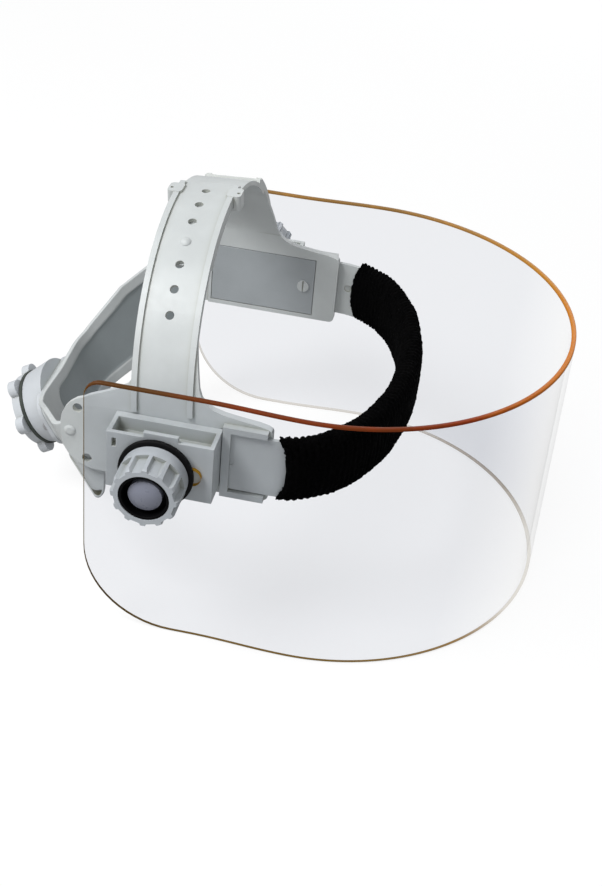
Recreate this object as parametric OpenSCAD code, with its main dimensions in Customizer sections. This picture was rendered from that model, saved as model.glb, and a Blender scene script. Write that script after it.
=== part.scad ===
// Wrap-around face shield on ratchet headgear.
// The shield stands on the bottom rim of its visor, front towards -Y, wearer's left towards +X.
// Headgear pieces are drawn about the axis of the two clamp knobs, which is parallel to X.
// Every sided piece is drawn for the wearer's left (+X) and mirrored for the right.

/* [Visor] */
// Height of the clear visor
visor_h = 150; // [120:1:180]
// Thickness of the visor sheet
visor_t = 2.5; // [1.5:0.1:3.2]
// Radius of the sheet's middle surface round the front
visor_r = 120; // [118:0.5:124]
// Half the distance between the sheet's middle surfaces where the headgear holds it
visor_half_w = 117.5; // [117:0.1:118]
// Distance from the front of the visor to the knob axis
visor_reach = 195.5; // [185:0.5:200]
// Distance from the knob axis to the visor's rear edges
visor_tail = 38; // [34:1:44]
// Corner radius at the bottom rear
visor_low_corner = 48; // [30:1:60]
// Corner radius at the top rear
visor_top_corner = 9; // [4:1:14]
// Height of the knob axis above the bottom rim
pivot_z = 103; // [95:1:110]
// How far the adjusting slot runs forward of the knob axis
slot_run = 18; // [0:1:20]

/* [Side plates and crown] */
// Outer face of each side plate, from the middle of the head
plate_x = 97; // [96:0.1:97.5]
// Thickness of the side plates
plate_t = 3; // [2.6:0.1:3.4]
// Height of the side plates
plate_h = 44; // [42:0.5:46]
// Distance from the knob axis to the rear end of the lobe with the three band holes
lobe_end = 57; // [56:0.5:58]
// Width of the crown straps
crown_w = 32; // [28:1:34]
// Height of the crown above the knob axis
crown_top = 98.4; // [90:0.2:105]
// Backward lean of the crown
crown_lean = 3.8; // [0:0.1:6]
// Thickness of each crown strap
crown_t = 2.4; // [2:0.1:2.6]
// Number of size holes in the crown
crown_holes = 7; // [4:1:7]

/* [Headband] */
// Height of the front strap
strap_h = 34; // [30:1:34]
// Thickness of the front strap
strap_t = 2.2; // [1.8:0.1:2.3]
// Reach of the front strap beyond the side plates
strap_reach = 54; // [50:1:60]
// Height of the terry sweatband
sweat_h = 37; // [36:1:40]

/* [Clamp knobs] */
// Radius of each clamp knob
knob_r = 17.5; // [16:0.5:19]
// Length of each clamp knob
knob_len = 21; // [19:1:24]
// Number of finger scallops
knob_scallops = 12; // [8:1:14]
// Radius of the clamp stud
stud_r = 4; // [3.5:0.1:4.2]

/* [Rear band] */
// Slope of the rear band, down towards the nape
band_slope = 30; // [25:1:32]
// Height of the rear band at the nape
band_h = 38; // [34:1:40]
// Distance from the lobe pins to the nape wall, along the slope
nape_reach = 50; // [46:1:54]
// Drop of the ratchet's axis below the lobe pins, square to the slope
ratchet_drop = 25; // [22:1:26]
// Radius of the round ratchet cover
drum_r = 23; // [22:0.5:24]
// Radius of the lobed ratchet knob
dial_r = 26.5; // [25:0.5:28]
// Teeth of the ratchet pinion
pinion_teeth = 10; // [10:1:10]
// Module of the pinion and the two racks
tooth_module = 1.5; // [1.5:0.1:1.5]

/* [Hidden] */
$fn = 96;
light_grey = [0.80, 0.82, 0.83];
mid_grey = [0.66, 0.68, 0.71];
dark_grey = [0.42, 0.44, 0.47];
jet = [0.07, 0.07, 0.08];
clear_amber = [0.93, 0.90, 0.84, 0.35];
steel = [0.70, 0.71, 0.73];

gap = 0.2;                 // room between pieces that touch loosely
run = 0.05;                // radial room of a shaft in its hole
eps = 0.01;
pivot_y = 38.55;           // puts the origin midway between the front and the back
steps = 40;                // segments of one long curve

// ---- visor ----
visor_low = -pivot_z;
visor_high = visor_h - pivot_z;
arc_y = visor_r - visor_reach + visor_t / 2;     // centre of the round front
pinch_y = -20;                                   // the sheet is flat and parallel behind this
washer_r = 19.5;

// ---- side plates ----
plate_in = plate_x - plate_t;
front_y = -53.5;                                 // front end of the plates
lobe_top_r = 17;                                 // corner radii of the rear lobe
lobe_low_r = 20;
lobe_y = lobe_end - 23;                          // the arms of the rear band start here
channel_y = -27;                                 // the strap channel lies ahead of this
channel_floor = plate_x - 0.5;
rail_x = channel_floor + strap_t + 2;
rail_in = strap_h / 2 + 0.9;
rail_z = [0.6 - plate_h / 2, plate_h / 2 - 0.8];
keeper_y = [-33, -28.8];
cover_y = [-39.5, 23.5];
cover_z = [-19, 18];
cover_gap = 0.4;                                 // groove round the inner cover
cover_t = 1.3;
frame_x = plate_in - cover_t - 0.1;              // the plate round the cover is flush with it
frame_top = 31;                                  // where that plate runs into the crown's inner face
pin_y = -33;
stud_seat_y = -60;                               // shallow seat in the inner face of the strap

// ---- crown ----
crown_z0 = 14;                                   // the crown's arch starts here
arch_b = crown_top - crown_z0;
hole_step = 8.7;                                 // degrees of arch from hole to hole
peg_hole = 3;
crown_hole_r = 2.3;
bead_w = 3;
bead_h = 1.2;
bead_from = 4;                                   // the edge beads start above the clamps, in degrees
crown_shift = 2.3;                               // the crown leans back about a line behind the knob axis
joggle = [42, 52];                               // where the left strap steps inward, in degrees

// ---- headband ----
strap_x = channel_floor + gap + strap_t / 2;     // middle surface at the plates
strap_turn_y = -55;                              // the strap starts to curve here
sweat_end = -61;
sweat_in = [93.2, 47.5];                         // half axes of the terry sleeve's faces
sweat_out = [104.2, 61.5];
pad_room = 0.3;

// ---- clamp ----
visor_in = visor_half_w - visor_t / 2;
visor_out = visor_half_w + visor_t / 2;
block_y = [-28.3, 27];
block_z = [-15.8, 17.6];
block_wall = 2.4;
head_r = 8.5;
head_t = 2.8;
washer_x = visor_out + 0.05;
washer_t = 2.4;
knob_x = washer_x + washer_t + 0.05;
knob_face = knob_x + knob_len;
well_r = 13;
well_depth = 9;
collar = 8.5;                                    // plain length of the knob, next to the washer
flute = [2.3, 3.9, 2.2];                         // half widths at the bottom and rim, and depth
stud_end = knob_x + 9;

// ---- rear band: x across, u along the slope, v square to it ----
pin_at = [lobe_y + 18, 0];                       // the middle lobe hole, in y and z
lobe_holes = [[lobe_y + 14, 14.5], pin_at, [lobe_y + 9, -15.5]];
band_hole_r = 2.6;
arm_t = 2.2;
arm_x = plate_in - gap - arm_t / 2;              // middle surface against the lobe
bend_out = [arm_x, 9];                           // corner of the arm's centre line, clear of the rivet
tail_half = 27;                                  // the toothed tail starts here
tail_reach = 16;                                 // and runs this far past the middle
pitch_r = tooth_module * pinion_teeth / 2;
pitch = PI * tooth_module;
tail_h = 2 * pitch_r + 14;
tail_gap = 0.15;
lane = [nape_reach, nape_reach + arm_t + tail_gap];
base_in = nape_reach - arm_t / 2 - 2.6;          // faces of the ratchet, along u
base_floor = nape_reach - arm_t / 2 - tail_gap;
cover_floor = lane[1] + arm_t / 2 + tail_gap;
drum_out = cover_floor + 16.15;
dial_in = drum_out + 2.2;
dial_out = dial_in + 6;
shaft_r = 4;
case_half = 31;
case_r = 12;
bar_t = 2.1;                                     // bars that close the case above and below
case_h = tail_h + 2 * gap + 4.4;
screw_at = 28;
dial_turn = -25;                                 // where the dial stands at rest, in degrees
wheel_r = 13;                                    // detent wheel inside the drum
wheel_teeth = 24;
band_mid = -ratchet_drop + 2;

// ======== helpers ========
module at_pivot() { translate([0, pivot_y, pivot_z]) children(); }
module left() { at_pivot() children(); }
module right() { at_pivot() mirror([1, 0, 0]) children(); }

// a side view (y, z) given thickness from x0 to x1
module slab(x0, x1) {
  translate([x0, 0, 0]) rotate([90, 0, 90]) linear_extrude(x1 - x0) children();
}
module rod(r, x0, x1) { translate([x0, 0, 0]) rotate([0, 90, 0]) cylinder(r = r, h = x1 - x0); }
module rect(y, z) { translate([y[0], z[0]]) square([y[1] - y[0], z[1] - z[0]]); }
module round_rect(y, z, r) {
  rect([y[0] + r, y[1] - r], z);
  rect(y, [z[0] + r, z[1] - r]);
  for (a = [y[0] + r, y[1] - r], b = [z[0] + r, z[1] - r]) translate([a, b]) circle(r);
}
// what a rounded corner loses, for a corner at the origin of the -x -y quadrant
module corner_loss(r) {
  difference() { translate([-r, -r]) square(r + 1); translate([-r, -r]) circle(r); }
}

// unit normal of an open path at point i, to its left
function heading(p, i) =
  let (a = p[max(i - 1, 0)], b = p[min(i + 1, len(p) - 1)], d = b - a) d / norm(d);
function side_step(p, i, d) = p[i] + d * [-heading(p, i)[1], heading(p, i)[0]];
// a ribbon of thickness t along an open path
module ribbon(p, t) {
  n = len(p);
  polygon(concat(
    [for (i = [0 : n - 1]) side_step(p, i, t / 2)],
    [for (i = [n - 1 : -1 : 0]) side_step(p, i, -t / 2)]));
}
// corner of a path at b, rounded with radius r
function bend(a, b, c, r) =
  let (u = (a - b) / norm(a - b), w = (c - b) / norm(c - b),
       half = acos(u * w) / 2, m = (u + w) / norm(u + w), o = b + m * r / sin(half),
       s = b + u * r / tan(half) - o, e = b + w * r / tan(half) - o,
       a0 = atan2(s[1], s[0]), turn = atan2(s[0] * e[1] - s[1] * e[0], s * e))
  [for (i = [0 : 8]) o + r * [cos(a0 + turn * i / 8), sin(a0 + turn * i / 8)]];

// ======== visor ========
// half width of the sheet at depth y behind the round front
function sheet_x(y) = y > pinch_y ? visor_half_w
  : visor_half_w + (visor_r - visor_half_w) * (1 - cos(180 * (pinch_y - y) / (pinch_y - arc_y))) / 2;
function visor_side() = concat(
  [[visor_half_w, visor_tail]],
  [for (i = [0 : 11]) let (y = pinch_y + (arc_y - pinch_y) * i / 12) [sheet_x(y), y]]);
function visor_path() = concat(
  visor_side(),
  [for (i = [0 : steps]) let (a = -180 * i / steps) [visor_r * cos(a), arc_y + visor_r * sin(a)]],
  [for (i = [len(visor_side()) - 1 : -1 : 0]) [-visor_side()[i][0], visor_side()[i][1]]]);
module visor_outline() {
  difference() {
    rect([-visor_reach - 1, visor_tail], [visor_low, visor_high]);
    translate([visor_tail, visor_high]) corner_loss(visor_top_corner);
    translate([visor_tail, visor_low]) mirror([0, 1]) corner_loss(visor_low_corner);
    translate([-slot_run, 0]) circle(stud_r + 0.8);
    circle(stud_r + 0.8);
    rect([-slot_run, 0], [-stud_r - 0.8, stud_r + 0.8]);
  }
}
module visor() {
  color(clear_amber) at_pivot() intersection() {
    translate([0, 0, visor_low]) linear_extrude(visor_h) ribbon(visor_path(), visor_t);
    slab(-2 * visor_r, 2 * visor_r) visor_outline();
  }
}

// ======== side frames: plate, lobe and half the crown in one moulding ========
// side view: shoulders that sweep up into the crown, and a rear lobe
function shoulder_line() = concat(
  [[front_y, 0], [front_y, 19.2], [front_y + 0.7, 20.7], [front_y + 2.4, 21.7]],
  [[-46, 22.9], [-36, 24], [-28, 25.2], [-22.5, 26.8], [-18.4, 29.2], [-15.8, 32.2], [-14.2, 36],
   [-13, 42], [-10, 56]],
  [[18, 56], [19.6, 40], [20.6, 35.4], [22.8, 32], [27, 29.4], [34, 26.3], [42, 23]]);
module plate_outline() {
  h = plate_h / 2;
  polygon(concat(shoulder_line(),
    [for (a = [75 : -15 : 0]) [lobe_end, h - lobe_top_r] + lobe_top_r * [cos(a) - 1, sin(a)]],
    [for (a = [0 : -10 : -90]) [lobe_end, lobe_low_r - h] + lobe_low_r * [cos(a) - 1, sin(a)]],
    [for (a = [-90 : -15 : -180]) [front_y + 3 + 3 * cos(a), 3 - h + 3 * sin(a)]]));
}
// the plate's outline ahead of y and below z
module plate_below(y, z) {
  intersection() { plate_outline(); rect([front_y - 1, y], [-plate_h, z]); }
}
module plate_shape() {
  difference() {
    union() {
      difference() {
        crown_and_plate() children();
        slab(channel_floor, plate_x + 1) rect([front_y - 1, channel_y], [-rail_in, rail_in]);
      }
      slab(plate_in, plate_x - 1) plate_below(lobe_end, 20.6);
      // rails and keeper bridge of the strap channel
      for (z = [[rail_z[0], -rail_in], [rail_in, rail_z[1]]])
        slab(plate_x - 1.4, rail_x) rect([front_y + 1.8, channel_y - 1.8], z);
      slab(rail_x - 1.4, rail_x) rect(keeper_y, rail_z);
      // thicker plate round the inner cover
      slab(frame_x, plate_in + 0.8) difference() {
        plate_below(cover_y[1] + 2, frame_top);
        rect([cover_y[0] - cover_gap, cover_y[1] + cover_gap],
             [cover_z[0] - cover_gap, cover_z[1] + cover_gap]);
      }
    }
    for (h = lobe_holes) translate([0, h[0], h[1]]) rod(band_hole_r, plate_in - 1, plate_x + 1);
    translate([0, pin_y, 0]) rod(2 + run, frame_x, rail_x - 2);
  }
}
module crown_space() { translate([0, crown_shift, 0]) rotate([-crown_lean, 0, 0]) children(); }
// arch of half width a and height b over its start
function arch(a, b, t) = [a * cos(t), crown_z0 + b * sin(t)];
function arch_line(inset, t0, t1) = let (n = ceil(abs(t1 - t0) / 4))
  [for (i = [0 : n]) arch(plate_x - inset, arch_b - inset, t0 + (t1 - t0) * i / n)];
module arch_band(x_out, x_in, t0, t1, y0, y1) {
  translate([0, y1, 0]) rotate([90, 0, 0]) linear_extrude(y1 - y0)
    polygon(concat(arch_line(plate_x - x_out, t0, t1), arch_line(plate_x - x_in, t1, t0)));
}
function foot(inset) = [plate_x - inset, -plate_h / 2 - 12];
// plate and crown strap in one: the strap's section, taken across the side view of both;
// the child is that section, from the plate's foot over the crown and back
module crown_and_plate() {
  intersection() {
    crown_space() rotate([90, 0, 0]) translate([0, 0, -80]) linear_extrude(160) children();
    union() {
      slab(60, 120) plate_outline();
      crown_space() translate([-60, -crown_w / 2, 12]) cube([180, crown_w, 120]);
    }
  }
}
function hole_angle(k) = 90 - hole_step * k;
// place something square to the arch at angle t, its +z outward
module on_arch(t) {
  p = arch(plate_x, arch_b, t);
  n = atan2(cos(t) * arch_b, sin(t) * plate_x);
  translate([p[0], 0, p[1]]) rotate([0, n, 0]) children();
}
module right_side_frame() {
  color(light_grey) right() difference() {
    union() {
      plate_shape() polygon(concat(
        [foot(0)], arch_line(0, 0, 97), arch_line(crown_t, 97, 0), [foot(crown_t)]));
      crown_space() {
        for (y = [-crown_w / 2, crown_w / 2 - bead_w])
          arch_band(plate_x + bead_h, plate_x - 1, bead_from, 95, y, y + bead_w);
        crown_guides();
      }
    }
    crown_space() for (k = [0 : crown_holes - 1])
      on_arch(hole_angle(k)) translate([0, 0, -crown_t - 1]) cylinder(r = crown_hole_r, h = crown_t + 3);
  }
}
// guides at the end of the outer strap, hooked round the edges of the inner one
module crown_guides() {
  low = crown_top - 2 * crown_t - gap - 1.8;
  edge = crown_w / 2;
  for (side = [0, 1]) mirror([0, side, 0]) difference() {
    translate([0, 0, low]) linear_extrude(crown_top + bead_h - low)
      round_rect([-4.5, 6], [edge - 4, edge + 3.8], 2.2);
    translate([-8, edge - 6, low + 1.4]) cube([18, 6 + gap, crown_top - crown_t - low - 1.4]);
    translate([1.5, edge + 2, low - 1]) cylinder(r = 0.9, h = 12);
  }
}
module left_side_frame() {
  inset = crown_t + gap;
  last = 90 + hole_step * peg_hole + 8;
  color(light_grey) left() difference() {
    union() {
      plate_shape() polygon(concat(
        [foot(0)], arch_line(0, 0, joggle[1]), arch_line(inset, joggle[1], last),
        arch_line(inset + crown_t, last, joggle[0]), arch_line(crown_t, joggle[0], 0), [foot(crown_t)]));
      crown_space() for (y = [-crown_w / 2, crown_w / 2 - bead_w])
        arch_band(plate_x + bead_h, plate_x - 1, bead_from, joggle[1] - 2, y, y + bead_w);
    }
    crown_space() mirror([1, 0, 0]) on_arch(hole_angle(peg_hole))
      translate([0, 0, -2 * crown_t - 2]) cylinder(r = 1.5, h = 2 * crown_t + 4);
  }
}
// snap peg that joins the two crown straps at the chosen hole
module crown_snap_peg() {
  color(light_grey) right() crown_space() on_arch(hole_angle(peg_hole)) {
    translate([0, 0, 0.05]) rotate_extrude() intersection() {
      translate([0, -2.2]) circle(3.6);
      square([3, 2]);
    }
    translate([0, 0, -crown_t + 0.03]) cylinder(r = crown_hole_r - run, h = crown_t + 0.1);
    translate([0, 0, -2 * crown_t - 1]) cylinder(r = 1.45, h = 2 * crown_t);
    translate([0, 0, -2 * crown_t - 2.2]) cylinder(r = 2.6, h = 1.2);
  }
}

// ======== headband ========
function half_oval(a, b, lag) = [for (i = [0 : steps])
  let (t = -180 * i / steps) [a * cos(t), strap_turn_y + lag + b * sin(t)]];
function strap_path() = concat(
  [[strap_x, keeper_y[1] - 1]], half_oval(strap_x, strap_reach, 0), [[-strap_x, keeper_y[1] - 1]]);
module front_strap() {
  color(light_grey) at_pivot() difference() {
    translate([0, 0, -strap_h / 2]) linear_extrude(strap_h) ribbon(strap_path(), strap_t);
    for (s = [0, 1]) mirror([s, 0, 0]) {
      translate([0, pin_y, 0]) rod(2 + run, strap_x - 3, strap_x + 3);
      translate([0, stud_seat_y, 1]) rod(2.3, strap_x - 4, strap_x - strap_t / 2 + 0.3);
    }
  }
}
// terry sleeve round the front of the strap
module sweatband() {
  module oval(size) { polygon(concat(half_oval(size[0], size[1], 0), [[-size[0], 0], [size[0], 0]])); }
  color(jet) at_pivot() difference() {
    translate([0, 0, 1 - sweat_h / 2]) linear_extrude(sweat_h) difference() {
      oval(sweat_out);
      oval(sweat_in);
      translate([-150, sweat_end]) square([300, 200]);
    }
    translate([0, 0, -strap_h / 2 - pad_room]) linear_extrude(strap_h + 2 * pad_room)
      ribbon(strap_path(), strap_t + 2 * pad_room);
  }
}
// slotted pin through the inner cover, the plate and the strap
module strap_pin() {
  difference() {
    union() {
      translate([0, pin_y, 0]) rod(2, plate_in - cover_t - 0.2, rail_x - 2.1);
      translate([0, pin_y, 0]) rod(3.6, frame_x - 1, plate_in - cover_t - 0.12);
    }
    translate([frame_x - 1.5, pin_y - 0.4, -5]) cube([1.2, 0.8, 10]);
  }
}
module left_strap_pin() { color(light_grey) left() strap_pin(); }
module right_strap_pin() { color(light_grey) right() strap_pin(); }
module inner_cover() {
  difference() {
    slab(plate_in - cover_t - 0.1, plate_in - 0.1) rect(cover_y, cover_z);
    translate([0, pin_y, 0]) rod(2 + run, plate_in - 4, plate_in + 1);
  }
}
module left_inner_cover() { color(mid_grey) left() inner_cover(); }
module right_inner_cover() { color(mid_grey) right() inner_cover(); }

// ======== clamps that hold the visor ========
// hollow spacer between the plate and the visor, its top open
module pivot_block() {
  x0 = plate_x + 0.05;
  x1 = visor_in - 0.05;
  difference() {
    union() {
      slab(x0, x1) rect(block_y, block_z);
      slab(x1 - block_wall, x1) rect([-10, 8], [block_z[1] - 1, block_z[1] + 3]);
    }
    // open-topped pocket behind the outer wall
    slab(x0 + 4.5, x1 - block_wall)
      rect([block_y[0] + block_wall, block_y[1] - block_wall], [head_r + 1.5, block_z[1] + 9]);
    rod(stud_r + run, x0 - 1, x1 + 1);
    rod(head_r + run, x0 - 1, x0 + head_t + 0.1);
    // light slot in the outer wall, beside the washer
    slab(x1 - block_wall - 1, x1 + 1) rect([22, 24], [9, 14]);
  }
}
module left_pivot_block() { color(light_grey) left() pivot_block(); }
module right_pivot_block() { color(light_grey) right() pivot_block(); }
module clamp_stud() {
  rod(head_r, plate_x + 0.1, plate_x + 0.05 + head_t);
  rod(stud_r, plate_x + 0.2, stud_end);
}
module left_clamp_stud() { color(steel) left() clamp_stud(); }
module right_clamp_stud() { color(steel) right() clamp_stud(); }
module friction_washer() {
  difference() {
    rod(washer_r, washer_x, washer_x + washer_t);
    rod(stud_r + run, washer_x - 1, washer_x + washer_t + 1);
  }
}
module left_friction_washer() { color(jet) left() friction_washer(); }
module right_friction_washer() { color(jet) right() friction_washer(); }
module clamp_knob() {
  difference() {
    translate([knob_x, 0, 0]) rotate([0, 90, 0]) rotate_extrude() polygon([
      [0, 0], [knob_r - 1, 0], [knob_r - 0.2, 0.8], [knob_r - 0.2, 4], [knob_r, 5.5],
      [knob_r, knob_len - 1.8], [knob_r - 0.9, knob_len], [0, knob_len]]);
    for (i = [0 : knob_scallops - 1]) rotate([360 * (i + 0.5) / knob_scallops, 0, 0])
      slab(knob_x + collar, knob_face + 1) translate([0, knob_r]) polygon([
        [-flute[0], -flute[2]], [flute[0], -flute[2]], [flute[1], 0], [flute[1] + 1, 1.5],
        [-flute[1] - 1, 1.5], [-flute[1], 0]]);
    rod(well_r, knob_face - well_depth, knob_face + 1);
    rod(stud_r + run, knob_x - 1, stud_end + 0.3);
  }
}
module left_clamp_knob() { color(mid_grey) left() clamp_knob(); }
module right_clamp_knob() { color(mid_grey) right() clamp_knob(); }
// dark cup pressed into the knob's face
module knob_well() {
  difference() {
    rod(well_r - run, knob_face - well_depth + 0.05, knob_face - 0.4);
    rod(well_r - 1.6, knob_face - well_depth + 1.6, knob_face + 1);
    rod(3 + run, knob_face - well_depth - 1, knob_face);
  }
}
module left_knob_well() { color(jet) left() knob_well(); }
module right_knob_well() { color(jet) right() knob_well(); }
module knob_cap() {
  x0 = knob_face - well_depth + 1.65;
  rod(3, knob_face - well_depth + 0.05, x0 + 1);
  rod(8.6, x0, knob_face - 2.6);
  translate([knob_face - 2.6 - eps, 0, 0]) rotate([0, 90, 0]) rotate_extrude() intersection() {
    translate([0, -14.2]) circle(16.6);
    square([8.6, 4]);
  }
}
module left_knob_cap() { color(dark_grey) left() knob_cap(); }
module right_knob_cap() { color(dark_grey) right() knob_cap(); }

// ======== rear band ========
// space of the band: origin on the lobe pins, +y down the slope to the nape
module band_space() {
  at_pivot() translate([0, pin_at[0], pin_at[1]]) rotate([-band_slope, 0, 0]) children();
}
module rear_view(u0, u1) {
  translate([0, u1, 0]) rotate([90, 0, 0]) linear_extrude(u1 - u0) children();
}
function arm_path(u) =
  let (a = [arm_x, -30], b = bend_out, c = [38, u], d = [tail_half, u])
  concat([a], bend(a, b, c, 9), bend(b, c, d, 14), [d]);
module band_rear_outline(x_in) {
  top = band_mid + band_h / 2;
  low = band_mid - band_h / 2;
  polygon([[x_in, low], [40, low], [70, -43], [100, -47], [100, 8], [70, 4], [40, top], [x_in, top]]);
}
// side view of each arm, level: an upright front edge between two rounded corners
module band_front_outline() {
  y0 = lobe_y - pin_at[0];
  down = 150 * [cos(band_slope), -sin(band_slope)];
  top = [y0, 15];
  low = [y0, -44];
  polygon(concat([low + down, top + down], bend(top + down, top, low, 9), bend(top, low, low + down, 14)));
}
module band_arm(u) {
  difference() {
    intersection() {
      translate([0, 0, -70]) linear_extrude(90) ribbon(arm_path(u), arm_t);
      rear_view(-40, 80) band_rear_outline(tail_half);
      rotate([band_slope, 0, 0]) slab(0, 120) band_front_outline();
    }
    rod(band_hole_r - 0.4 + run, arm_x - 5, arm_x + 5);
  }
}
module left_band_arm() { color(light_grey) band_space() band_arm(lane[1]); }
module right_band_arm() { color(light_grey) band_space() mirror([1, 0, 0]) band_arm(lane[0]); }
// snap rivet through the arm and the middle lobe hole
module band_rivet() {
  rod(band_hole_r - 0.4, arm_x - arm_t / 2 - 0.1, plate_in);
  rod(band_hole_r - run, plate_in - 0.1, plate_x + 0.1);
  translate([plate_x + 0.1, 0, 0]) rotate([0, 90, 0]) cylinder(r1 = band_hole_r + 0.7, r2 = 1.6, h = 0.9);
  rod(4.2, arm_x - arm_t / 2 - 1.3, arm_x - arm_t / 2 - 0.05);
}
module left_band_rivet() { color(light_grey) band_space() band_rivet(); }
module right_band_rivet() { color(light_grey) band_space() mirror([1, 0, 0]) band_rivet(); }

// rack teeth in the spaces between first and last, pointing down from a bar above the pitch line
module rack_teeth(first, last) {
  for (i = [first : last]) translate([(i + 0.5) * pitch, pitch_r]) polygon([
    [-0.36 * pitch, 2 * tooth_module], [-0.17 * pitch, -0.2], [-0.10 * pitch, -0.8 * tooth_module],
    [0.10 * pitch, -0.8 * tooth_module], [0.17 * pitch, -0.2], [0.36 * pitch, 2 * tooth_module]]);
}
// toothed end of an arm that slides through the ratchet, drawn for the left arm
module toothed_tail(u) {
  slot = pitch_r + 1.4 * tooth_module;
  rear_view(u - arm_t / 2, u + arm_t / 2) translate([0, -ratchet_drop]) union() {
    difference() {
      rect([-tail_reach, tail_half - 0.05], [-tail_h / 2, tail_h / 2]);
      rect([-tail_reach + 3.5, tail_half - 4.5], [-slot, slot]);
    }
    rack_teeth(-3, 4);
  }
}
module left_toothed_tail() { color(light_grey) band_space() toothed_tail(lane[1]); }
module right_toothed_tail() {
  color(light_grey) band_space()
    translate([0, 0, -2 * ratchet_drop]) mirror([0, 0, 1]) mirror([1, 0, 0]) toothed_tail(lane[0]);
}

// ======== ratchet ========
module at_ratchet() { band_space() translate([0, 0, -ratchet_drop]) children(); }
// a round bar along u
module axle(r, u0, u1) { translate([0, u1, 0]) rotate([90, 0, 0]) cylinder(r = r, h = u1 - u0); }
module case_outline() { round_rect([-case_half, case_half], [-case_h / 2, case_h / 2], case_r); }
module ratchet_base() {
  color(light_grey) at_ratchet() difference() {
    union() {
      rear_view(base_in, base_floor) case_outline();
      for (side = [0, 1]) mirror([0, 0, side])
        translate([case_r - case_half, base_floor - eps, case_h / 2 - bar_t])
          cube([2 * (case_half - case_r), cover_floor - base_floor, bar_t]);
    }
    axle(2.5 + run, base_in - 1, base_floor + 1);
  }
}
module ratchet_cover() {
  color(mid_grey) at_ratchet() difference() {
    union() {
      rear_view(cover_floor + 0.05, cover_floor + 2.4) case_outline();
      translate([0, drum_out, 0]) rotate([90, 0, 0])
        cylinder(r1 = drum_r - 1.4, r2 = drum_r + 2, h = drum_out - cover_floor - 1);
    }
    axle(drum_r - 4, cover_floor + 2.4, drum_out - 2.2);
    axle(shaft_r + run, cover_floor - 1, drum_out + 1);
    for (s = [-1, 1]) translate([s * screw_at, 0, 0]) axle(1.5 + run, cover_floor - 1, cover_floor + 5);
  }
}
module cover_screws() {
  color(steel) at_ratchet() for (s = [-1, 1]) translate([s * screw_at, 0, 0]) difference() {
    axle(2.6, cover_floor + 2.45, cover_floor + 4.3);
    translate([-0.4, cover_floor + 3.6, -4]) cube([0.8, 2, 8]);
  }
}
// toothed wheel on the shaft inside the drum, and the pawl spring that clicks over it
module ratchet_wheel() {
  color(jet) at_ratchet() difference() {
    rear_view(cover_floor + 4, cover_floor + 8) union() {
      circle(wheel_r - 1.4);
      for (i = [0 : wheel_teeth - 1]) rotate(360 * i / wheel_teeth)
        polygon([[wheel_r - 2, -1.6], [wheel_r, 0], [wheel_r - 2, 1.6]]);
    }
    axle(shaft_r + run, cover_floor, drum_out);
  }
}
module pawl_spring() {
  r = drum_r - 4.3;
  color(steel) at_ratchet() rear_view(cover_floor + 4.5, cover_floor + 7.5) {
    difference() {
      circle(r);
      circle(r - 1);
      translate([-30, -30]) square([60, 34]);
    }
    polygon([[-2.6, r - 0.6], [-0.6, wheel_r + 0.15], [0.6, wheel_r + 0.15], [2.6, r - 0.6]]);
  }
}
function tooth_ring(z) = [for (i = [0 : z - 1]) 360 * i / z];
module ratchet_pinion() {
  root = pitch_r - 1.25 * tooth_module;
  color(mid_grey) at_ratchet() {
    rear_view(base_floor + 0.1, cover_floor - 0.1) union() {
      circle(root);
      for (a = tooth_ring(pinion_teeth)) rotate(a + 90) polygon([
        [root - 1, -0.30 * pitch], [root + 0.4, -0.24 * pitch], [pitch_r, -0.16 * pitch],
        [pitch_r + 0.75 * tooth_module, -0.06 * pitch], [pitch_r + 0.75 * tooth_module, 0.06 * pitch],
        [pitch_r, 0.16 * pitch], [root + 0.4, 0.24 * pitch], [root - 1, 0.30 * pitch]]);
    }
    axle(2.5, base_in + 0.3, base_floor + 1);
    axle(shaft_r, cover_floor - 1, dial_in + 3);
  }
}
module ratchet_dial() {
  lobes = 6;
  lobe = 5.2;
  color(mid_grey) at_ratchet() difference() {
    union() {
      axle(dial_r - lobe, dial_in, dial_out - 0.5);
      axle(dial_r - lobe - 6, dial_in, dial_out);
      for (i = [0 : lobes - 1]) rotate([0, dial_turn + 360 * i / lobes, 0])
        translate([0, 0, dial_r - lobe]) axle(lobe, dial_in, dial_out - 1);
    }
    axle(shaft_r + run, dial_in - 1, dial_in + 3.1);
    axle(1.5 + run, dial_in, dial_out + 2);
    axle(4, dial_out - 1.2, dial_out + 2);
  }
}
module dial_seal() {
  color(dark_grey) at_ratchet() difference() {
    axle(drum_r - 0.7, drum_out + 0.05, dial_in - 0.05);
    axle(shaft_r + run, drum_out - 1, dial_in + 1);
  }
}
module dial_screw() {
  color(steel) at_ratchet() difference() {
    union() {
      axle(3.6, dial_out - 1.15, dial_out + 0.8);
      axle(1.5, dial_in + 3.05, dial_out - 1);
    }
    for (a = [0, 90]) rotate([0, a, 0]) translate([-0.4, dial_out, -2.4]) cube([0.8, 2, 4.8]);
  }
}

visor();
right_side_frame();
left_side_frame();
crown_snap_peg();
front_strap();
sweatband();
right_strap_pin();
left_strap_pin();
right_inner_cover();
left_inner_cover();
right_pivot_block();
left_pivot_block();
right_clamp_stud();
left_clamp_stud();
right_friction_washer();
left_friction_washer();
right_clamp_knob();
left_clamp_knob();
right_knob_well();
left_knob_well();
right_knob_cap();
left_knob_cap();
right_band_arm();
left_band_arm();
right_band_rivet();
left_band_rivet();
right_toothed_tail();
left_toothed_tail();
ratchet_base();
ratchet_cover();
cover_screws();
pawl_spring();
ratchet_pinion();
ratchet_wheel();
ratchet_dial();
dial_seal();
dial_screw();
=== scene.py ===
"""Looks of the face shield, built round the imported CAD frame."""

import math

import bmesh
import bpy
import numpy as np
from mathutils import Matrix, Vector, noise


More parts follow.
